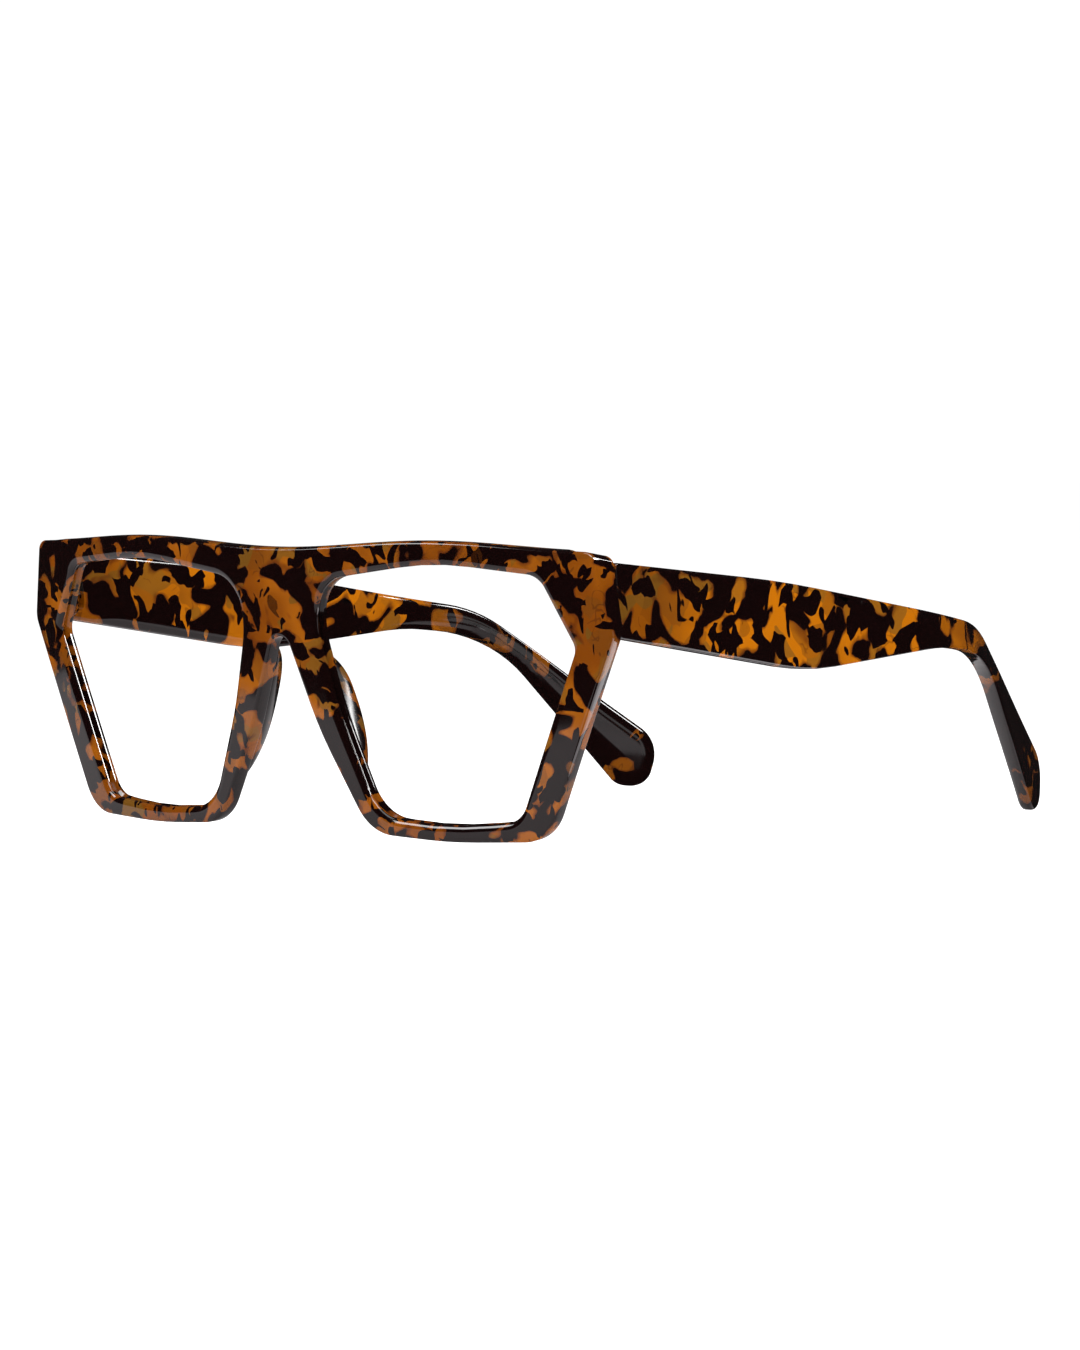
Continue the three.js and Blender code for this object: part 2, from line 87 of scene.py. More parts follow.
LUG_BACK_Y = 10.8  # flat back of the end pieces
LUG_X = (65.5, 66.6)  # where the end piece thickens, from start to end
LUG_LOW_Z = (0.4, 1.2)  # the same at its lower edge
LUG_OUTER_X = ((0.8, 74.2), (14.4, 72.9))  # outer side of its back as (z, x), bottom and top
LUG_TOP_STEP = 0.9  # how far the top of its back lies under the brow
SEAT = (67.1, 71.3, 2.45, 9.55)  # seat of the front hinge leaf: x from, to, z from, to
SEAT_Y = 8.0
WALL_RAMP = 0.02  # half the width of the steep walls of the seats and recesses

BUTT_Y = 11.1  # front end of the temples
TEMPLE_THICKNESS = 3.3
TIP_THICKNESS = 3.9
TEMPLE_CENTRE_X = 71.15
TEMPLE_TAPER = 0.022  # slope towards the head of its straight part
TOE_IN_START = 76.0  # bend behind the butt end that turns it further in
TOE_IN_END = 100.5
TOE_IN_SLOPE = 0.438  # slope that the bend adds
COMFORT_WIDTH = 2.3  # broad rounding of the side that lies on the head
COMFORT_DEPTH = 0.7
BUTT_REACH = 0.3  # how much of the roundings is left at the butt end
REACH_BEHIND = (5.0, 14.0)  # where they grow to their full width
TIP_BEHIND = (108.0, 124.0)  # where they grow once more, so that the tip is rounded all round
TIP_REACH = 0.4  # how much wider
TIP_ROUND = 1.2  # how much deeper
RECESS_LENGTH = 4.2  # milled recess round the hinge, on the inner side
RECESS_START = 1.25  # where the mesh edge along it begins, just inside the rounded butt end
RECESS_Z = (0.8, 9.85)
RECESS_CORNER = 1.2
RECESS_OUTER_X = 70.9

PAD_LENGTH = 26.3675
PAD_WIDTH = 4.4
PAD_HEIGHT = 4.7  # from the back of the front to the crest
PAD_ROOT = 0.5  # how deep it sits in the back of the front
PAD_CREST = 0.25  # where it is highest, as a share of its half length above the middle
PAD_CENTRE = (10.1, -14.1)
PAD_TURN = math.radians(26)  # how far it is turned from upright, seen from the front
PAD_SIDE_POWER = 2.6  # roundness of its side view: 2 is a parabola, more is fuller
PAD_PLAN_POWER = 0.28  # of its outline on the front: 0.5 is an ellipse, less is fuller
PAD_SECTION_POWERS = (0.75, 0.8)  # of its section, across and in height: 1 is an ellipse
PAD_NARROWING = 0.3  # share of its width that is lost at the crest
PAD_LEAN = 1.0  # how far its crest leans towards the lens at the middle of its length
PAD_LEAN_GAIN = 0.9  # how much more at its upper end, and less at its lower end
PAD_LEAN_POWER = 1.3  # how the lean grows with height
PAD_RINGS = 56
PAD_RING_POINTS = 28

HINGE_AXIS = (69.0, 11.1, 6.0)  # the point that the record's joints name

# Corners as (x, z, fillet radius) on the +X side.
LENS_CORNERS = [
    (9.8, 9.3, 7.5),
    (9.6, 0, 15),
    (13.4, -13.6, 60),
    (21.1, -31.5, 9),
    (37.7, -33.1, 100),
    (53.1, -31.5, 5),
    (66.7, -1.8, 2.6),
    (60.0, 10.5, 4.5),
    (37.7, 12.8, 70),
]
OUTLINE_CORNERS = [
    (71.4, BROW_Z - BROW_FALL, 2.2),
    (FRONT_HALF_WIDTH, 0.3, 4),
    (58.6, -34.9, 8),
    (37.7, -35.6, 120),
    (19.3, -34.6, 9.5),
    (8.5, -16.8, 60),
]
# Corners of the temple's side view as (distance behind the butt end, z, fillet radius).
TEMPLE_CORNERS = [
    (0, 12.4, 0.8),
    (42, 4.5, 300),
    (98.8, -9.9, 24),
    (132.5, -40, 7),
    (128, -52.8, 3.7),
    (102.8, -15.7, 26),
    (84, -12.1, 50),
    (47.5, -12, 60),
    (0, -0.4, 0.8),
]

ARC_STEP = math.radians(5)
EDGE_STEP = 1.0  # longest piece of an outline
BROW_POINTS = 61
ARCH_POINTS = 17
ROUND_STEPS = 7  # of the broad roundings
GRID_STEP = 1.3  # spacing of the points inside a face
GRID_ROW = 0.87  # distance between its rows, as a share of the spacing
FINE_STEP = 0.45  # spacing where the end piece thickens
RING_GAP = 0.45 * GRID_STEP  # how far the inner points stay from the outlines
CHAIN_GAP = 0.5 * FINE_STEP  # and from the seats' and recesses' walls
FRONT_AREA = ((-76, -37), (76, 18))  # rectangles that hold the whole face, as (x, z) corners
TEMPLE_AREA = ((0, -56), (136, 14))
FINE_X = (64, 75)  # the end piece's part of the front
FINE_Z = (-1, 15)
ON_BUTT = 1e-6  # points of an outline within this of the temple's butt end lie on it
SNAP = 1e-5  # points of a face nearer than this become one
SHARP_ANGLE = math.radians(38)
WELD = 1e-7  # metres within which a piece's vertices are joined

# The record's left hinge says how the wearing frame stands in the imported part's frame.
left_fold = next(j for j in frame["joints"] if j["name"] == "left_temple_fold")
axis = Vector(left_fold["axis"])
TILT = Matrix.Rotation(math.atan2(-axis.y, axis.z), 4, "X")
SHIFT = Vector(left_fold["pos_m"]) - TILT @ (Vector(HINGE_AXIS) / 1000)
WORN = Matrix.Translation(SHIFT) @ TILT @ Matrix.Scale(0.001, 4)


# ---------------------------------------------------------------- outlines


def fillet(corners, closed=True):
    """Rounds the corners (x, y, radius) of an outline; an open one keeps its two ends."""
    points = []
    count = len(corners)
    for i, (x, y, radius) in enumerate(corners):
        corner = Vector((x, y))
        if radius == 0 or (not closed and i in (0, count - 1)):
            points.append(corner)
            continue
        before = (Vector(corners[i - 1][:2]) - corner).normalized()
        after = (Vector(corners[(i + 1) % count][:2]) - corner).normalized()
        turn = math.pi - before.angle(after)
        start = corner + before * radius * math.tan(turn / 2)
        centre = corner + (before + after).normalized() * radius / math.cos(turn / 2)
        side = -1 if before.x * after.y - before.y * after.x > 0 else 1
        steps = max(3, math.ceil(turn / ARC_STEP))
        for step in range(steps + 1):
            spin = Matrix.Rotation(side * turn * step / steps, 2)
            points.append(centre + spin @ (start - centre))
    return points


def refined(outline):
    """Splits the long pieces of a closed outline."""
    points = []
    for i, point in enumerate(outline):
        after = outline[(i + 1) % len(outline)]
        pieces = max(1, math.ceil((after - point).length / EDGE_STEP))
        points.extend(point.lerp(after, k / pieces) for k in range(pieces))
    return points


def brow_z(x):
    """Height of the front's top edge."""
    rise = BROW_RISE * math.sin(math.pi * x / (2 * BROW_EYE_X)) ** 2
    return BROW_Z + rise - BROW_FALL * (x / FRONT_HALF_WIDTH) ** 2


def front_outline():
    """Outline of the front: brow, side, bottom and nose arch, then the same mirrored."""
    corner_x, _, corner_radius = OUTLINE_CORNERS[0]
    brow_end = corner_x - corner_radius
    brow = [Vector((x, brow_z(x))) for x in np.linspace(0, brow_end, BROW_POINTS)[1:-1]]
    knee_x, knee_z, _ = OUTLINE_CORNERS[-1]
    arch_z = ARCH_TOP_Z - ARCH_RADIUS
    reach = math.hypot(knee_x, knee_z - arch_z)
    tangent = math.atan2(knee_z - arch_z, knee_x) + math.acos(ARCH_RADIUS / reach)
    arch = [
        Vector((ARCH_RADIUS * math.cos(a), arch_z + ARCH_RADIUS * math.sin(a)))
        for a in np.linspace(tangent, math.pi / 2, ARCH_POINTS)[:-1]
    ]
    start = (brow_end - 1, brow_z(brow_end - 1), 0)
    side = fillet([start, *OUTLINE_CORNERS, (*arch[0], 0)], closed=False)[1:-1]
    half = brow + side + arch
    other = [Vector((-p.x, p.y)) for p in reversed(half)]
    return [Vector((0, BROW_Z)), *half, Vector((0, ARCH_TOP_Z)), *other]


def outward_normals(loop):
    """Unit normals of a closed loop, pointing away from the area it encloses."""
    points = np.array([tuple(p) for p in loop])
    tangent = np.roll(points, -1, axis=0) - np.roll(points, 1, axis=0)
    tangent /= np.linalg.norm(tangent, axis=1)[:, None]
    x, y = points.T
    area = np.sum(x * np.roll(y, -1) - np.roll(x, -1) * y)
    normals = np.stack([tangent[:, 1], -tangent[:, 0]], axis=1)
    return normals if area > 0 else -normals


def inside(points, loop):
    """Which points lie inside a closed loop, by counting crossings."""
    x, y = np.array(points).T
    loop = np.array([tuple(p) for p in loop])
    hit = np.zeros(len(x), bool)
    for (x0, y0), (x1, y1) in zip(loop, np.roll(loop, -1, axis=0)):
        if y0 != y1:
            crosses = (y0 > y) != (y1 > y)
            hit ^= crosses & (x < x0 + (y - y0) * (x1 - x0) / (y1 - y0))
    return hit


def distance_to(points, loop):
    """Shortest distance from each point to the corners of a loop."""
    points = np.array(points)
    loop = np.array([tuple(p) for p in loop])
    return np.min(np.linalg.norm(points[:, None] - loop[None], axis=2), axis=1)


def grid(low, high, step):
    """Staggered rows of points that fill a rectangle."""
    rows = np.arange(low[1], high[1], step * GRID_ROW)
    return [
        (x, y)
        for row, y in enumerate(rows)
        for x in np.arange(low[0] + (row % 2) * step / 2, high[0], step)
    ]


# ---------------------------------------------------------------- slabs with shaped edges


class Slab:
    """A plate with holes, drawn flat and then mapped into space.

    Each edge loop has a profile of (inset, end, level) stations from the front face to the back
    face. End 0 counts the level backwards from the front face, end 1 forwards from the back face.
    """

    def __init__(self, place):
        self.place = place  # function of (x, y, end, level) giving a point in space
        self.vertices = []
        self.faces = []

    def ring(self, loop, normals, inset, end, level):
        """Adds one station's vertices and returns the index of the first."""
        first = len(self.vertices)
        for point, normal in zip(loop, normals):
            x, y = point[0] - normal[0] * inset, point[1] - normal[1] * inset
            self.vertices.append(self.place(x, y, end, level))
        return first

    def edge(self, loop, profile, is_hole=False, reach=None, back_loop=None):
        """Sweeps a profile round a loop, with its insets scaled by each point's reach.

        Stations at the back follow back_loop when there is one. Returns the first and last rings
        as (index, flat points).
        """
        loops, normals = [loop, back_loop or loop], []
        for side_loop in loops:
            outward = outward_normals(side_loop) * (-1 if is_hole else 1)
            normals.append(outward if reach is None else outward * np.array(reach)[:, None])
        count = len(loop)
        starts = [self.ring(loops[s[1]], normals[s[1]], *s) for s in profile]
        for a, b in zip(starts, starts[1:]):
            for i in range(count):
                j = (i + 1) % count
                self.faces.append((a + i, a + j, b + j, b + i))
        flat = [
            [(p[0] - n[0] * s[0], p[1] - n[1] * s[0]) for p, n in zip(loops[s[1]], normals[s[1]])]
            for s in (profile[0], profile[-1])
        ]
        return (starts[0], flat[0]), (starts[-1], flat[1])

    def cap(self, rings, filler, end, chains=()):
        """Closes a face between rings, the first being the outer one, with points of filler inside.

        Each chain is a line that the triangles follow, as (points, first hit, last hit). The hits
        are the ring points that it starts and ends at, or None when it is closed.
        """
        points, index, edges = [], [], []
        for start, flat in rings:
            base = len(points)
            points += flat
            index += range(start, start + len(flat))
            edges += [(base + i, base + (i + 1) % len(flat)) for i in range(len(flat))]
        for chain, first_hit, last_hit in chains:
            base = len(points)
            points += chain
            index += [None] * len(chain)
            edges += [(base + i, base + i + 1) for i in range(len(chain) - 1)]
            if first_hit is not None:
                edges += [(first_hit, base), (base + len(chain) - 1, last_hit)]
        keep = inside(filler, rings[0][1])
        for _, flat in rings[1:]:
            keep &= ~inside(filler, flat)
        for _, flat in rings:
            keep &= distance_to(filler, flat) > RING_GAP
        for chain, _, _ in chains:
            keep &= distance_to(filler, chain) > CHAIN_GAP
        points += [p for p, k in zip(filler, keep) if k]
        index += [None] * (len(points) - len(index))

        flat2d = [Vector(p) for p in points]
        found, _, triangles, origin, _, _ = geometry.delaunay_2d_cdt(flat2d, edges, [], 0, SNAP)
        for i, sources in enumerate(origin):
            known = [index[s] for s in sources if index[s] is not None]
            if known:
                origin[i] = known[0]
            else:
                origin[i] = len(self.vertices)
                self.vertices.append(self.place(*found[i], end, 0.0))
        centres = [sum((found[v] for v in t), Vector((0, 0))) / 3 for t in triangles]
        solid = inside(centres, rings[0][1])
        for _, flat in rings[1:]:
            solid &= ~inside(centres, flat)
        self.faces += [tuple(origin[v] for v in t) for t, s in zip(triangles, solid) if s]

    def build(self, name):
        mesh = bpy.data.meshes.new(name)
        mesh.from_pydata([WORN @ Vector(v) for v in self.vertices], [], self.faces)
        return finished(mesh, name)


def finished(mesh, name):
    """Welds, turns the faces outwards and smooths a new mesh, and puts it in the scene."""
    bm = bmesh.new()
    bm.from_mesh(mesh)
    bmesh.ops.remove_doubles(bm, verts=bm.verts, dist=WELD)
    bmesh.ops.recalc_face_normals(bm, faces=bm.faces)
    bm.to_mesh(mesh)
    bm.free()
    mesh.polygons.foreach_set("use_smooth", [True] * len(mesh.polygons))
    mesh.set_sharp_from_angle(angle=SHARP_ANGLE)
    piece = bpy.data.objects.new(name, mesh)
    bpy.context.collection.objects.link(piece)
    return piece


def smoothstep(value, start, end):
    """0 up to start, 1 from end on, smooth between."""
    t = min(max((value - start) / (end - start), 0.0), 1.0)
    return t * t * (3 - 2 * t)


def quarter_round(width, depth, end, steps):
    """Stations of a rounded edge, from the flat face down to the wall."""
    turns = np.linspace(0, math.pi / 2, steps + 1)
    return [(width * (1 - math.sin(t)), end, depth * (1 - math.cos(t))) for t in turns]


def edge_round(end, radius=EDGE_RADIUS, steps=5):
    return quarter_round(radius, radius, end, steps)


# ---------------------------------------------------------------- front


def thickness_at(x, z):
    """Depth of the back face behind the front face, square to the curved front."""
    x = abs(x)
    angle = math.asin(x / FRONT_RADIUS)

    def depth_of(y):
        return FRONT_RADIUS - (FRONT_RADIUS - y) / math.cos(angle)

    if SEAT[0] < x < SEAT[1] and SEAT[2] < z < SEAT[3]:
        return depth_of(SEAT_Y)
    lug = smoothstep(x, *LUG_X) * smoothstep(z, *LUG_LOW_Z)
    return FRONT_THICKNESS + lug * max(0.0, depth_of(LUG_BACK_Y) - FRONT_THICKNESS)


def front_place(x, z, end, level):
    """Bends a flat point of the front round its upright axis."""
    depth = level if end == 0 else thickness_at(x, z) - level
    angle = math.asin(x / FRONT_RADIUS)
    radius = FRONT_RADIUS - depth
    return (radius * math.sin(angle), FRONT_RADIUS - radius * math.cos(angle), z)


def back_point(point):
    """Moves a point of the outline out to the flared side of the end piece's flat back."""
    x, z = abs(point.x), point.y
    (low_z, low_x), (high_z, high_x) = LUG_OUTER_X
    outer = low_x + (high_x - low_x) * (z - low_z) / (high_z - low_z)
    flat_outer = FRONT_RADIUS * outer / math.hypot(outer, FRONT_RADIUS - LUG_BACK_Y)
    (top_x, top_z, _), (elbow_x, elbow_z, _) = OUTLINE_CORNERS[:2]
    face_outer = elbow_x + (top_x - elbow_x) * (z - elbow_z) / (top_z - elbow_z)
    amount = smoothstep(x, LUG_X[0], face_outer) * smoothstep(z, *LUG_LOW_Z)
    step = LUG_TOP_STEP * smoothstep(x, *LUG_X) * smoothstep(z, low_z, high_z)
    return Vector((math.copysign(x + amount * (flat_outer - face_outer), point.x), z - step))


def build_front():
    slab = Slab(front_place)
    outline = refined(front_outline())
    support = EDGE_RADIUS + EDGE_SUPPORT
    profile = [(support, 0, 0.0), *edge_round(0), *edge_round(1)[::-1], (support, 1, 0.0)]

    groove = [
        (0.0, 0, GROOVE_Y - GROOVE_HALF_WIDTH),
        (GROOVE_DEPTH, 0, GROOVE_Y),
        (0.0, 0, GROOVE_Y + GROOVE_HALF_WIDTH),
    ]
    hole_profile = [
        (FLARE_WIDTH + OPENING_SUPPORT, 0, 0.0),
        *quarter_round(FLARE_WIDTH, FLARE_DEPTH, 0, ROUND_STEPS),
        *groove,
        *edge_round(1, GROOVE_BACK_RADIUS, 3)[::-1],
        (GROOVE_BACK_RADIUS + OPENING_SUPPORT, 1, 0.0),
    ]

    opening = refined(fillet(LENS_CORNERS))
    fronts, backs = [], []
    for loop, stations, is_hole in (
        (outline, profile, False),
        (opening, hole_profile, True),
        ([Vector((-p.x, p.y)) for p in reversed(opening)], hole_profile, True),
    ):
        back_loop = [back_point(p) for p in loop]
        front_ring, back_ring = slab.edge(loop, stations, is_hole, back_loop=back_loop)
        fronts.append(front_ring)
        backs.append(back_ring)

    coarse = grid(*FRONT_AREA, GRID_STEP)
    slab.cap(fronts, coarse, 0)
    seats = []
    for side in (1, -1):
        for grow in (WALL_RAMP, -WALL_RAMP):
            x0, x1, z0, z1 = SEAT
            corners = [
                (x0 - grow, z0 - grow),
                (x1 + grow, z0 - grow),
                (x1 + grow, z1 + grow),
                (x0 - grow, z1 + grow),
            ]
            corners = [(side * x, z) for x, z in corners]
            seats.append((corners + corners[:1], None, None))
    (near, far), (low, high) = FINE_X, FINE_Z
    filler = [p for p in coarse if not (abs(p[0]) > near and p[1] > low)]
    for start in (near, -far):
        filler += grid((start, low), (start + far - near, high), FINE_STEP)
    slab.cap(backs, filler, 1, seats)
    return slab.build("front_frame_acetate")


# ---------------------------------------------------------------- temples


def temple_x(behind):
    """Middle of the temple's thickness, which turns in towards the head along a bend."""
    bend = TOE_IN_END - TOE_IN_START
    along = min(max(behind - TOE_IN_START, 0), bend)
    beyond = max(0, behind - TOE_IN_END)
    toe_in = TOE_IN_SLOPE * (along**2 / (2 * bend) + beyond)
    return TEMPLE_CENTRE_X - TEMPLE_TAPER * behind - toe_in


def in_recess(behind, z):
    """Whether a point of the temple's inner side lies in the recess round the hinge."""
    low, high = RECESS_Z
    if behind > RECESS_LENGTH or not low < z < high:
        return False
    corner_y = RECESS_LENGTH - RECESS_CORNER
    if behind < corner_y or low + RECESS_CORNER < z < high - RECESS_CORNER:
        return True
    centre_z = low + RECESS_CORNER if z < (low + high) / 2 else high - RECESS_CORNER
    return math.hypot(behind - corner_y, z - centre_z) < RECESS_CORNER


def recess_path(grow):
    """Line round the recess, from the butt end and back to it."""
    low, high = RECESS_Z[0] - grow, RECESS_Z[1] + grow
    end = RECESS_LENGTH + grow
    corners = [(RECESS_START, low, 0), (end, low, RECESS_CORNER)]
    corners += [(end, high, RECESS_CORNER), (RECESS_START, high, 0)]
    return [tuple(p) for p in fillet(corners, closed=False)]


def build_temple(side, name):
    """A temple drawn in its side view, as distance behind the butt end and height."""

    def place(behind, z, end, level):
        turned = min(max((behind - TOE_IN_START) / (TOE_IN_END - TOE_IN_START), 0), 1)
        half = (TEMPLE_THICKNESS + (TIP_THICKNESS - TEMPLE_THICKNESS) * turned) / 2
        level *= 1 + TIP_ROUND * smoothstep(behind, *TIP_BEHIND)
        if end == 0:
            x = temple_x(behind) + half - level
        elif in_recess(behind, z):
            x = RECESS_OUTER_X + level
        else:
            x = temple_x(behind) - half + level
        return (side * x, BUTT_Y + behind, z)

    slab = Slab(place)
    outline = refined(fillet(TEMPLE_CORNERS))
    sides = [p for p in outline if p.x > ON_BUTT]
    step_z = [z + ramp for z in RECESS_Z for ramp in (-WALL_RAMP, WALL_RAMP)]
    butt_z = sorted([p.y for p in outline if p.x <= ON_BUTT] + step_z)
    loop = sides + [Vector((0.0, z)) for z in butt_z]
    profile = [
        (EDGE_RADIUS + EDGE_SUPPORT, 0, 0.0),
        *edge_round(0),
        *quarter_round(COMFORT_WIDTH, COMFORT_DEPTH, 1, ROUND_STEPS)[::-1],
        (COMFORT_WIDTH + EDGE_SUPPORT, 1, 0.0),
    ]
    reach = [
        BUTT_REACH
        + (1 - BUTT_REACH) * smoothstep(p[0], *REACH_BEHIND)
        + TIP_REACH * smoothstep(p[0], *TIP_BEHIND)
        for p in loop
    ]
    outer_ring, inner_ring = slab.edge(loop, profile, reach=reach)
    filler = grid(*TEMPLE_AREA, GRID_STEP)
    slab.cap([outer_ring], filler, 0)
    chains = []
    for grow, low_z, high_z in (
        (WALL_RAMP, step_z[0], step_z[3]),
        (-WALL_RAMP, step_z[1], step_z[2]),
    ):
        low_hit = len(sides) + butt_z.index(low_z)
        high_hit = len(sides) + butt_z.index(high_z)
        chains.append((recess_path(grow), low_hit, high_hit))
    slab.cap([inner_ring], filler, 1, chains)
    return slab.build(name)


# ---------------------------------------------------------------- nose pads


def build_pad(side, name):
    """A smooth hump whose crest leans towards the lens, cemented to the back of the front."""
    vertices, faces = [], []
    cos_turn, sin_turn = math.cos(PAD_TURN), math.sin(PAD_TURN)
    for i in range(PAD_RINGS + 1):
        along = -math.cos(math.pi * i / PAD_RINGS)
        z = along * PAD_LENGTH / 2
        from_crest = (along - PAD_CREST) / (1 - math.copysign(PAD_CREST, along - PAD_CREST))
        height = PAD_HEIGHT * (1 - abs(from_crest) ** PAD_SIDE_POWER)
        taper = (1 - along**2) ** PAD_PLAN_POWER
        for j in range(PAD_RING_POINTS):
            angle = 2 * math.pi * j / PAD_RING_POINTS
            across, rise = (
                math.copysign(abs(value) ** power, value)
                for value, power in zip((math.cos(angle), math.sin(angle)), PAD_SECTION_POWERS)
            )
            y = height * rise if rise > 0 else PAD_ROOT * rise * taper
            up = max(0.0, y / PAD_HEIGHT)
            lean = (PAD_LEAN + PAD_LEAN_GAIN * along) * up**PAD_LEAN_POWER
            x = PAD_WIDTH / 2 * taper * across * (1 - PAD_NARROWING * up) + lean
            world_x = PAD_CENTRE[0] + x * cos_turn - z * sin_turn
            world_z = PAD_CENTRE[1] + x * sin_turn + z * cos_turn
            _, seat_y, _ = front_place(PAD_CENTRE[0] - z * sin_turn, world_z, 1, 0.0)
            vertices.append(WORN @ Vector((side * world_x, seat_y + y, world_z)))
    for i in range(PAD_RINGS):
        for j in range(PAD_RING_POINTS):
            a, b = i * PAD_RING_POINTS + j, i * PAD_RING_POINTS + (j + 1) % PAD_RING_POINTS
            faces.append((a, b, b + PAD_RING_POINTS, a + PAD_RING_POINTS))
    for ring in (0, PAD_RINGS):
        first = ring * PAD_RING_POINTS
        faces.append(tuple(range(first, first + PAD_RING_POINTS)))
    mesh = bpy.data.meshes.new(name)
    mesh.from_pydata(vertices, [], faces)
    return finished(mesh, name)


# ---------------------------------------------------------------- materials

# Colours of what lies in the acetate's amber.
BROWN_FLAKE = (0.085, 0.028, 0.003, 1)
OLIVE_FLAKE = (0.085, 0.045, 0.006, 1)
PATCH_RIM = (0.055, 0.011, 0.002, 1)
TIP_BROWN = (0.045, 0.012, 0.002, 1)
HAIR_LINE = (0.012, 0.004, 0.002, 1)
NEAR_BLACK = (0.0030, 0.0006, 0.0006, 1)

PATTERN_STRETCH = (1, 1, 1.05)
ACETATE_GLOSS = (0.05, 0.12)  # range of roughness
PAD_GLOSS = (0.12, 0.2)
STEEL_DARK = (0.46, 0.45, 0.43, 1)
STEEL_PALE = (0.74, 0.73, 0.70, 1)
STEEL_GLOSS = (0.24, 0.46)


class Nodes:
    """Short helpers for building one material's node tree."""

    def __init__(self, name):
        self.material = bpy.data.materials.new(name)
        self.material.use_nodes = True
        self.tree = self.material.node_tree
        self.shader = self.tree.nodes["Principled BSDF"]

    def add(self, kind, settings=None, **inputs):
        node = self.tree.nodes.new(kind)
        for key, value in (settings or {}).items():
            setattr(node, key, value)
        for key, value in inputs.items():
            self.put(node.inputs[key.replace("_", " ")], value)
        return node

    def put(self, socket, value):
        if isinstance(value, bpy.types.NodeSocket):
            self.tree.links.new(value, socket)
        else:
            socket.default_value = value

    def math(self, operation, a, b=0.0, clamp=False):
        node = self.tree.nodes.new("ShaderNodeMath")
        node.operation = operation
        node.use_clamp = clamp
        self.put(node.inputs[0], a)
        self.put(node.inputs[1], b)
        return node.outputs[0]

    def vector(self, operation, a, b):
        node = self.tree.nodes.new("ShaderNodeVectorMath")
        node.operation = operation
        self.put(node.inputs[0], a)
        if operation == "SCALE":
            self.put(node.inputs["Scale"], b)
        else:
            self.put(node.inputs[1], b)
        return node.outputs[0]

    def mix(self, factor, a, b):
        node = self.add("ShaderNodeMix", {"data_type": "RGBA"})
        self.put(node.inputs[0], factor)
        self.put(node.inputs[6], a)
        self.put(node.inputs[7], b)
        return node.outputs[2]

    def step(self, value, start, end):
        """0 below start, 1 above end, smooth between."""
        settings = {"interpolation_type": "SMOOTHSTEP"}
        node = self.add("ShaderNodeMapRange", settings, Value=value, From_Min=start, From_Max=end)
        return node.outputs["Result"]


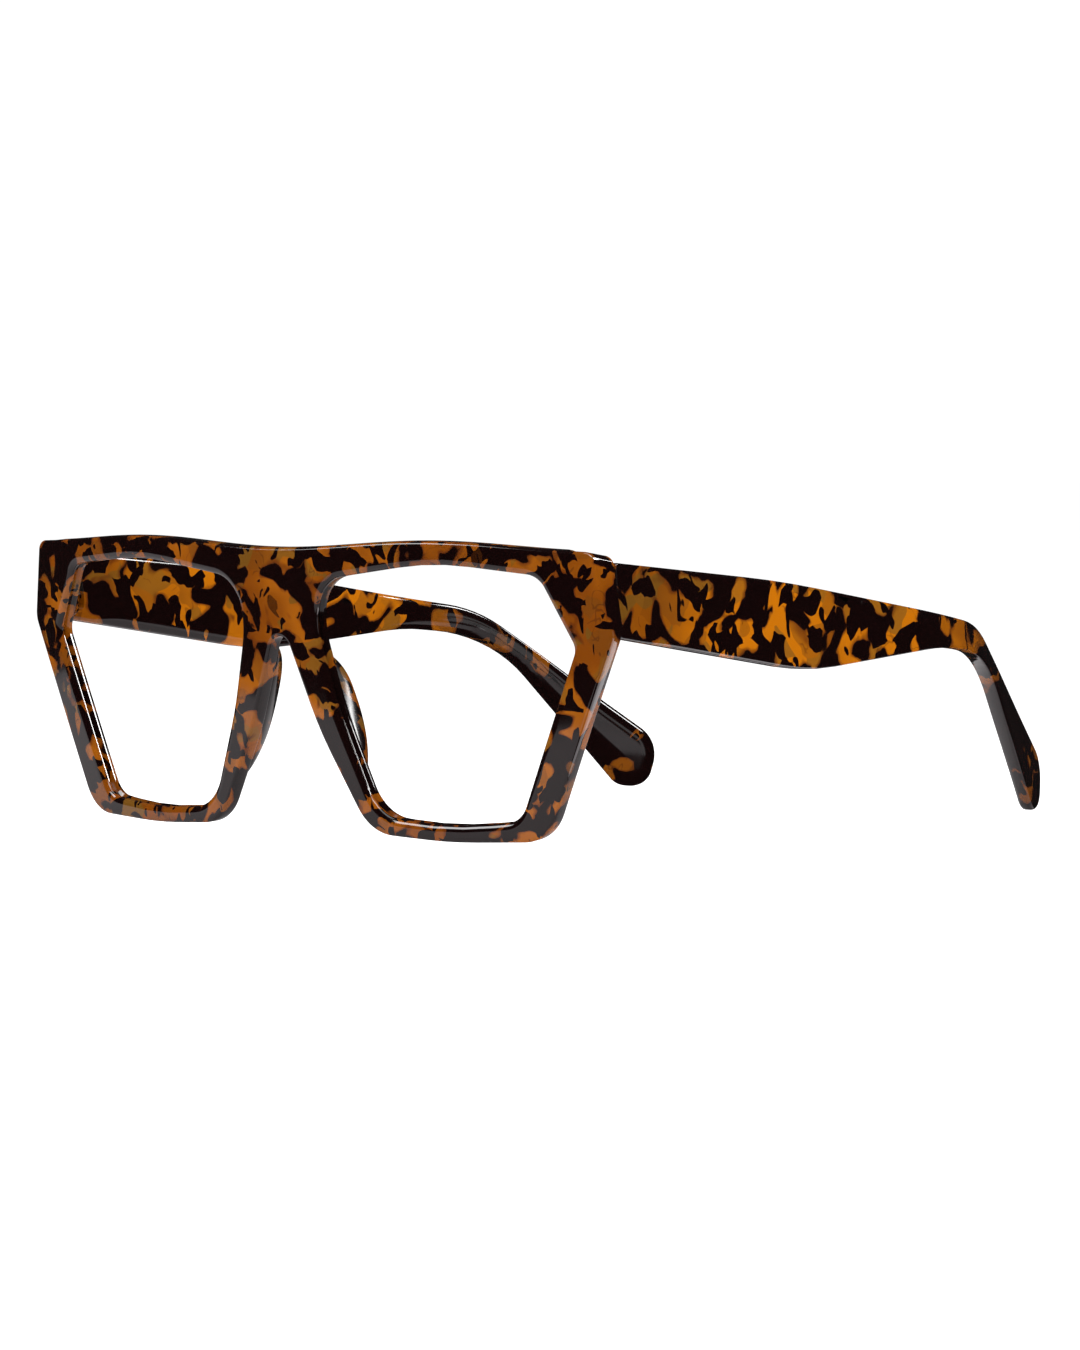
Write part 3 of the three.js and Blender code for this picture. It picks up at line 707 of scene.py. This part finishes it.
def acetate(name, seed, pieces, amber_deep, amber_pale, painted_glow_span=None, tip=None, gloss=ACETATE_GLOSS):
    """Mottled acetate, opaque here: near-black patches, olive flakes and dark slivers in amber.

    A larger value of pieces makes them smaller. Along Y, gold says where the paler amber starts
    and where it reaches full strength, and tip does the same for the dark tortoise of the tips.
    """
    n = Nodes(name)
    place = n.add("ShaderNodeTexCoord").outputs["Object"]
    where = n.vector("MULTIPLY", place, PATTERN_STRETCH)
    where = n.vector("ADD", where, (seed, seed * 0.37, seed * 0.71))

    def swirl(source, scale, amount):
        """Shifts a place at random by up to about the amount, in metres."""
        drift = n.add("ShaderNodeTexNoise", Vector=source, Scale=scale, Detail=1.0)
        centred = n.vector("SUBTRACT", drift.outputs["Color"], (0.5, 0.5, 0.5))
        return n.vector("ADD", source, n.vector("SCALE", centred, amount))

    def kinds(source, scale):
        """Random red, green and blue for each cell of a foam of flakes."""
        cells = n.add("ShaderNodeTexVoronoi", Vector=source, Scale=scale)
        return n.add("ShaderNodeSeparateColor", Color=cells.outputs["Color"]).outputs

    def noise(source, scale, detail=1.0, roughness=0.5):
        settings = {"Vector": source, "Scale": scale, "Detail": detail, "Roughness": roughness}
        return n.add("ShaderNodeTexNoise", **settings).outputs["Fac"]

    # Towards the tips the dark parts close up.
    along = n.add("ShaderNodeSeparateXYZ", Vector=place).outputs["Y"]
    tipward = n.step(along, *tip) if tip else 0.0

    curled = swirl(swirl(where, 80, 0.014), 300, 0.0022)
    wavy = swirl(where, 150, 0.006)

    # Patches: big blots with smooth, slightly soft outlines, and smaller pointed crisp chips.
    blot = noise(curled, 150.0 * pieces, 0.8, 0.4)
    if tip:
        blot = n.math("ADD", blot, n.math("ADD", n.math("MULTIPLY", tipward, 0.13), 0.006))
    blots = n.step(blot, 0.520, 0.542)
    fringe = n.step(blot, 0.465, 0.53)
    chip = kinds(curled, 250.0 * pieces)
    chips = n.step(chip["Red"], 0.74, 0.75)

    # Long thin slivers and hairs lie across the amber.
    drawn = swirl(n.vector("MULTIPLY", where, (1.4, 1.4, 0.8)), 130, 0.014)
    slivers = n.step(noise(drawn, 210.0 * pieces, 0.5), 0.635, 0.65)
    near_middle = n.math("ABSOLUTE", n.math("SUBTRACT", noise(wavy, 190.0 * pieces, 1.5), 0.5))
    hairs = n.math("SUBTRACT", 1.0, n.step(near_middle, 0.007, 0.013))
    some = n.step(noise(where, 160.0), 0.57, 0.60)
    lines = n.math("MULTIPLY", hairs, some)
    dark = n.math("MAXIMUM", n.math("MAXIMUM", blots, chips), slivers)

    # Olive and brown flakes show at other depths.
    flake = kinds(wavy, 190.0 * pieces)
    olive = n.step(flake["Green"], 0.84, 0.85)
    brown = n.step(flake["Blue"], 0.68, 0.70)

    glow = n.step(noise(where, 60.0, 2.0), 0.40, 0.62)
    # On the temples the paler amber grows in along Y behind the hinge: partly the acetate's own
    # tone, partly painted light, the glow of light through the thin temples, which this opaque
    # material doesn't pass.
    if painted_glow_span:
        glow = n.math("MULTIPLY", n.math("ADD", glow, 0.6, clamp=True), n.step(along, *painted_glow_span))
    colour = n.mix(glow, amber_deep, amber_pale)
    colour = n.mix(n.math("MULTIPLY", brown, 0.45), colour, BROWN_FLAKE)
    colour = n.mix(n.math("MULTIPLY", olive, 0.6), colour, OLIVE_FLAKE)
    colour = n.mix(n.math("MULTIPLY", fringe, 0.75), colour, PATCH_RIM)
    colour = n.mix(n.math("MULTIPLY", tipward, 0.75), colour, TIP_BROWN)
    colour = n.mix(n.math("MULTIPLY", lines, 0.4), colour, HAIR_LINE)
    colour = n.mix(dark, colour, NEAR_BLACK)

    smear = noise(where, 420.0, 4.0)
    roughness = n.add("ShaderNodeMapRange", Value=smear, To_Min=gloss[0], To_Max=gloss[1])
    ripple = noise(where, 95.0)
    bump = n.add("ShaderNodeBump", Height=ripple, Strength=0.12, Distance=0.0004)

    n.put(n.shader.inputs["Base Color"], colour)
    n.put(n.shader.inputs["Roughness"], roughness.outputs["Result"])
    n.put(n.shader.inputs["Normal"], bump.outputs["Normal"])
    n.shader.inputs["IOR"].default_value = 1.5
    return n.material


def hinge_steel(name, stroke):
    """Fine-grained nickel silver, brushed along the axis whose stroke is smallest."""
    n = Nodes(name)
    where = n.add("ShaderNodeTexCoord").outputs["Object"]
    strokes = n.vector("MULTIPLY", where, stroke)
    marks = n.add("ShaderNodeTexNoise", Vector=strokes, Scale=900.0, Detail=4.0)
    stain = n.add("ShaderNodeTexNoise", Vector=where, Scale=600.0, Detail=3.0)
    colour = n.mix(stain.outputs["Fac"], STEEL_DARK, STEEL_PALE)
    grain = marks.outputs["Fac"]
    roughness = n.add(
        "ShaderNodeMapRange", Value=grain, To_Min=STEEL_GLOSS[0], To_Max=STEEL_GLOSS[1]
    )
    bump = n.add("ShaderNodeBump", Height=grain, Strength=0.25, Distance=0.00005)
    n.put(n.shader.inputs["Base Color"], colour)
    n.put(n.shader.inputs["Roughness"], roughness.outputs["Result"])
    n.put(n.shader.inputs["Normal"], bump.outputs["Normal"])
    n.shader.inputs["Metallic"].default_value = 1.0
    return n.material


# ---------------------------------------------------------------- the object

front_look, pad_look = (
    acetate(
        name,
        seed=6.7,
        pieces=1.25,
        amber_deep=(0.12, 0.029, 0.001, 1),
        amber_pale=(0.20, 0.055, 0.002, 1),
        gloss=gloss,
    )
    for name, gloss in (("front_acetate", ACETATE_GLOSS), ("pad_acetate", PAD_GLOSS))
)
# The temples' amber is paler than the front's: partly painted light, standing for light that glows
# through the thin temples.
temple_look = acetate(
    "temple_acetate",
    seed=2.6,
    pieces=1.05,
    amber_deep=(0.15, 0.040, 0.001, 1),
    amber_pale=(0.34, 0.098, 0.001, 1),
    painted_glow_span=(-0.054, -0.036),
    tip=(0.01, 0.05),
)
steel_look = hinge_steel("hinge_steel", (1, 1, 0.08))
screw_look = hinge_steel("screw_steel", (0.2, 1, 1))

front = build_front()
front.data.materials.append(front_look)
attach(front, "front")
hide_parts("front_frame")

for label, side in (("left", 1), ("right", -1)):
    temple = build_temple(side, f"temple_{label}_acetate")
    temple.data.materials.append(temple_look)
    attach(temple, f"{label}_temple")
    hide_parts(f"temple_{label}")

    pad = build_pad(side, f"nose_pad_{label}_acetate")
    pad.data.materials.append(pad_look)
    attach(pad, "front")
    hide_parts(f"nose_pad_{label}")

    for node, look in (
        (f"front_hinge_{label}", steel_look),
        (f"temple_hinge_{label}", steel_look),
        (f"hinge_screw_{label}", screw_look),
    ):
        metal = frame["nodes"][node]
        for material_slot in metal.material_slots:
            material_slot.material = look


# ---------------------------------------------------------------- stage, light and camera

# Lengths are in metres and directions in degrees.
FLOOR_SIZE = 12
FLOOR_DROP = 0.013  # room for the tips, which dip when the temples fold
FLOOR_WHITE = (0.97, 0.97, 0.97, 1)
CARD_TINT = (1, 0.96, 0.98)
WORLD_LIGHT = 1.06  # strength of the white all round
WORLD_MIRRORED = 0.02  # what the polished acetate mirrors of it
VIEW_AZIMUTH = 45.0
VIEW_ELEVATION = 2.43
VIEW_DISTANCE = 0.998
AIM = Vector((0.06437, -0.07166, 0.02972))
LENS = 158.84  # mm
SENSOR = 36  # mm, along the height of the picture


def plane(name, size, place, colour, glow=0.0):
    """A level matt rectangle of the stage."""
    mesh = bpy.data.meshes.new(name)
    x, y = size[0] / 2, size[1] / 2
    mesh.from_pydata([(-x, -y, 0), (x, -y, 0), (x, y, 0), (-x, y, 0)], [], [(0, 1, 2, 3)])
    obj = bpy.data.objects.new(name, mesh)
    obj.location = place
    n = Nodes(name)
    n.shader.inputs["Base Color"].default_value = colour
    n.shader.inputs["Roughness"].default_value = 0.9
    n.shader.inputs["Specular IOR Level"].default_value = 0.0
    n.shader.inputs["Emission Color"].default_value = colour
    n.shader.inputs["Emission Strength"].default_value = glow
    mesh.materials.append(n.material)
    bpy.context.collection.objects.link(obj)
    return obj


def facing(name, data, aim, azimuth, elevation, distance):
    """Puts a lamp or camera at a distance from its aim and turns it to face it."""
    a, e = math.radians(azimuth), math.radians(elevation)
    back = Vector((math.sin(a) * math.cos(e), -math.cos(a) * math.cos(e), math.sin(e)))
    obj = bpy.data.objects.new(name, data)
    obj.location = aim + back * distance
    obj.rotation_euler = (-back).to_track_quat("-Z", "Y").to_euler()
    bpy.context.collection.objects.link(obj)
    return obj


def area_light(name, azimuth, elevation, distance, size, power):
    """A softbox that faces the middle of the object."""
    light = bpy.data.lights.new(name, "AREA")
    light.shape = "RECTANGLE"
    light.size, light.size_y = size
    light.energy = power
    return facing(name, light, middle, azimuth, elevation, distance)


low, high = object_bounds()
middle = (low + high) / 2

floor = plane("floor", (FLOOR_SIZE, FLOOR_SIZE), (0, 0, low.z - FLOOR_DROP), FLOOR_WHITE)
floor.visible_glossy = False

# Cards at table height are seen only in the polish, which mirrors them as the table. One glows.
for name, size, x, y, down, grey, glow in (
    ("low_card", (0.33, 0.19), -0.09, low.y + 0.01, 0.0001, 0.38, 0.0),
    ("tip_card", (0.07, 0.06), 0.035, 0.04, 0.0002, 0.5, 0.0),
    ("side_card", (0.09, 0.1), 0.121, -0.025, 0.0003, 0.8, 1.8),
):
    colour = (*(grey * tint for tint in CARD_TINT), 1)
    card = plane(name, size, (x, y, low.z - down), colour, glow)
    card.visible_camera = False
    card.visible_diffuse = False
    card.visible_shadow = False

area_light("top_box", 15, 70, 0.9, (0.9, 0.6), 5)
area_light("right_box", 60, 58, 0.8, (0.5, 0.4), 4)
area_light("left_box", -40, 30, 0.9, (0.3, 0.3), 3)

# Three panels over one another make a glow that fades from its middle outwards.
for part, width in enumerate((0.32, 0.2, 0.1)):
    area_light(f"side_glow_{part}", 88, -2, 0.6, (width, width / 2), 1.6 * width**2)

# Small lamps that only the polish shows, as bright lines along edges.
for lamp in (
    area_light("rim_glint", 112.8, 40.6, 0.88, (0.2, 0.2), 6),
    area_light("nose_glint", 138.2, 31.1, 0.91, (0.1, 0.1), 1.0),
):
    lamp.visible_diffuse = False

# White all round, but kept dim where the polished acetate would mirror it.
world = bpy.data.worlds.new("studio")
world.use_nodes = True
nodes, links = world.node_tree.nodes, world.node_tree.links
ray = nodes.new("ShaderNodeLightPath")
strength = nodes.new("ShaderNodeMapRange")
strength.inputs["To Min"].default_value = WORLD_LIGHT
strength.inputs["To Max"].default_value = WORLD_MIRRORED
links.new(ray.outputs["Is Glossy Ray"], strength.inputs["Value"])
links.new(strength.outputs["Result"], nodes["Background"].inputs["Strength"])
nodes["Background"].inputs["Color"].default_value = (1, 1, 1, 1)
bpy.context.scene.world = world
bpy.context.scene.view_settings.view_transform = "Standard"

camera_data = bpy.data.cameras.new("camera")
camera_data.lens = LENS
camera_data.sensor_width = SENSOR
camera_data.clip_start = 0.05
camera_data.clip_end = 50
camera = facing("camera", camera_data, AIM, VIEW_AZIMUTH, VIEW_ELEVATION, VIEW_DISTANCE)
bpy.context.scene.camera = camera
